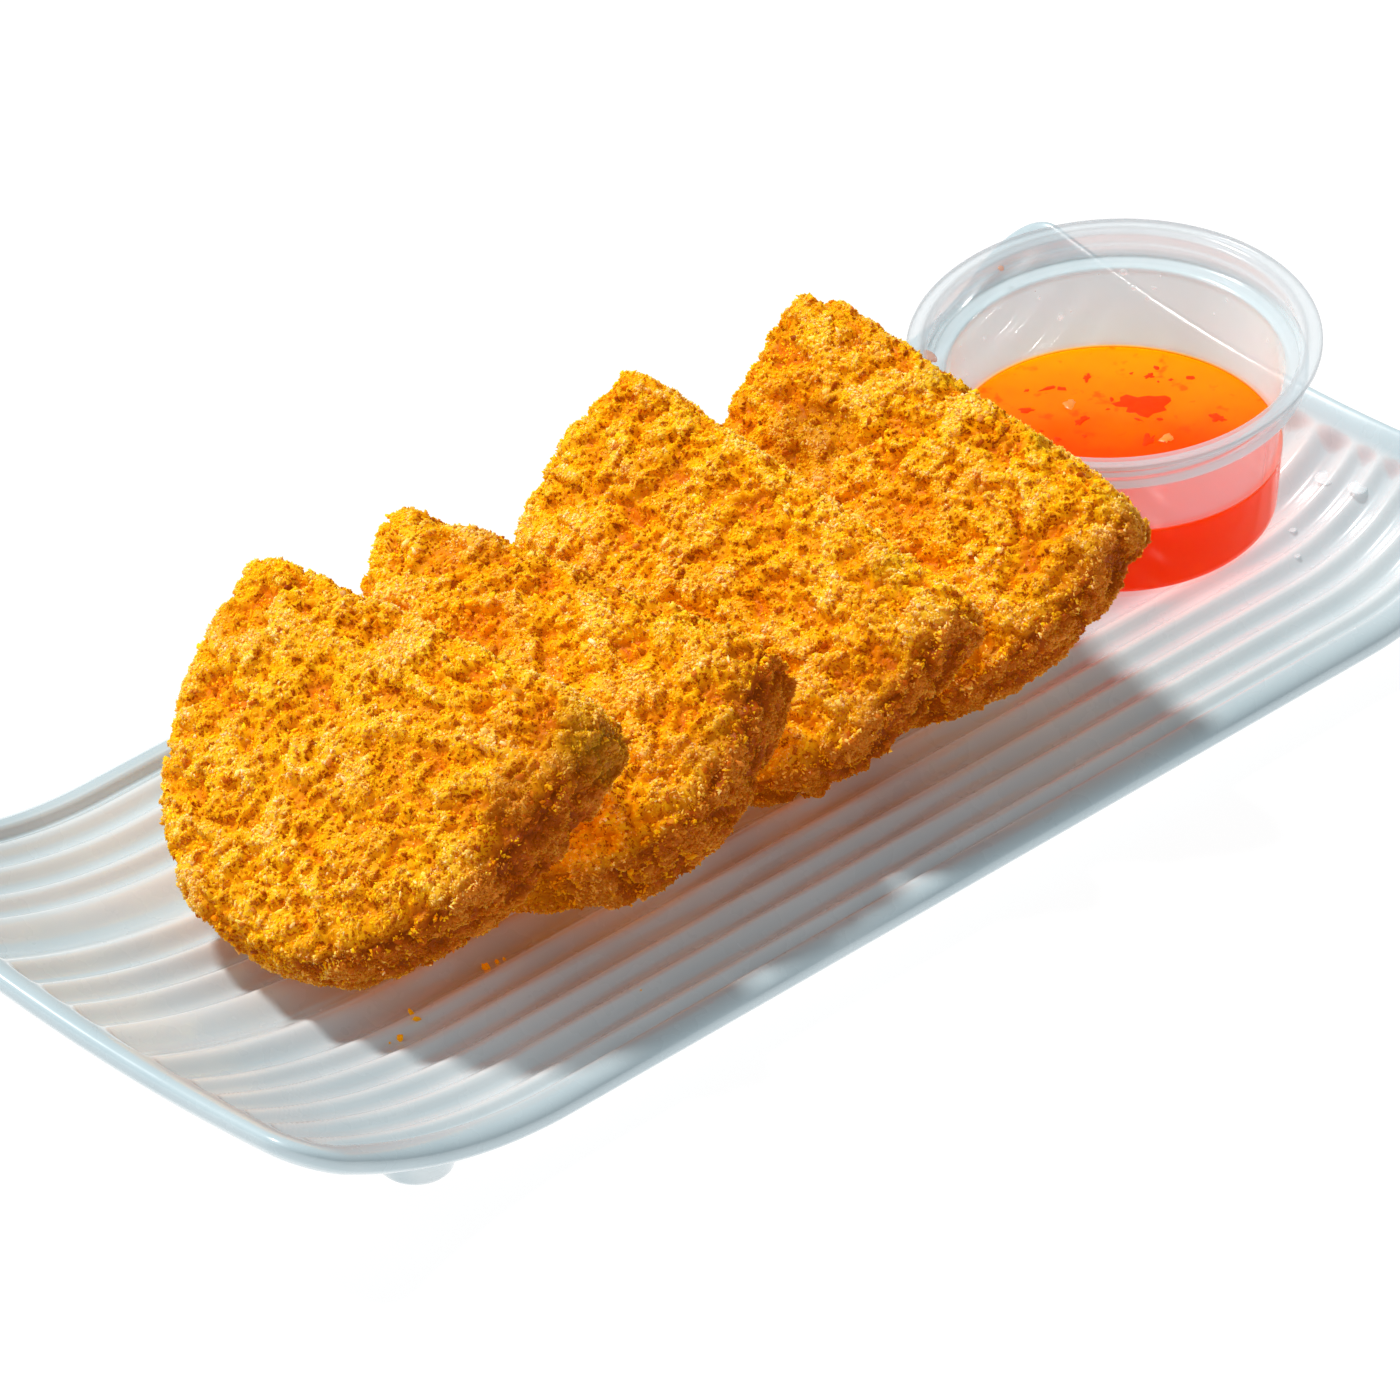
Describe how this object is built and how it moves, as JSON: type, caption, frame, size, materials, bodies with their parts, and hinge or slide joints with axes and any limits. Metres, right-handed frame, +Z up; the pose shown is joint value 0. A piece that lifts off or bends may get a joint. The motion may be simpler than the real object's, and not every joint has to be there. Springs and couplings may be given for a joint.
{
  "type": "plate of pumpkin croquettes",
  "caption": "Long rippled porcelain plate on stub feet, with leaning golden breaded pumpkin slices and a clear open cup of orange chili dipping sauce",
  "frame": {"origin": "on the table, under the middle of the plate", "axes": "+X along the plate from the croquettes to the sauce cup, +Z up, -Y the near long side"},
  "size_m": [0.2912, 0.127, 0.0642],
  "materials": {
    "glaze": "glossy pale blue-grey glaze",
    "crust": "golden-brown crumb crust, rough",
    "cup_plastic": "translucent, slightly milky",
    "sauce": "clear orange, wet"
  },
  "bodies": {
    "root": {"plate": "glaze", "croquette_1": "crust", "croquette_2": "crust", "croquette_3": "crust", "croquette_4": "crust", "sauce_cup": "cup_plastic", "dip_sauce": "sauce"}
  },
  "joints": []
}
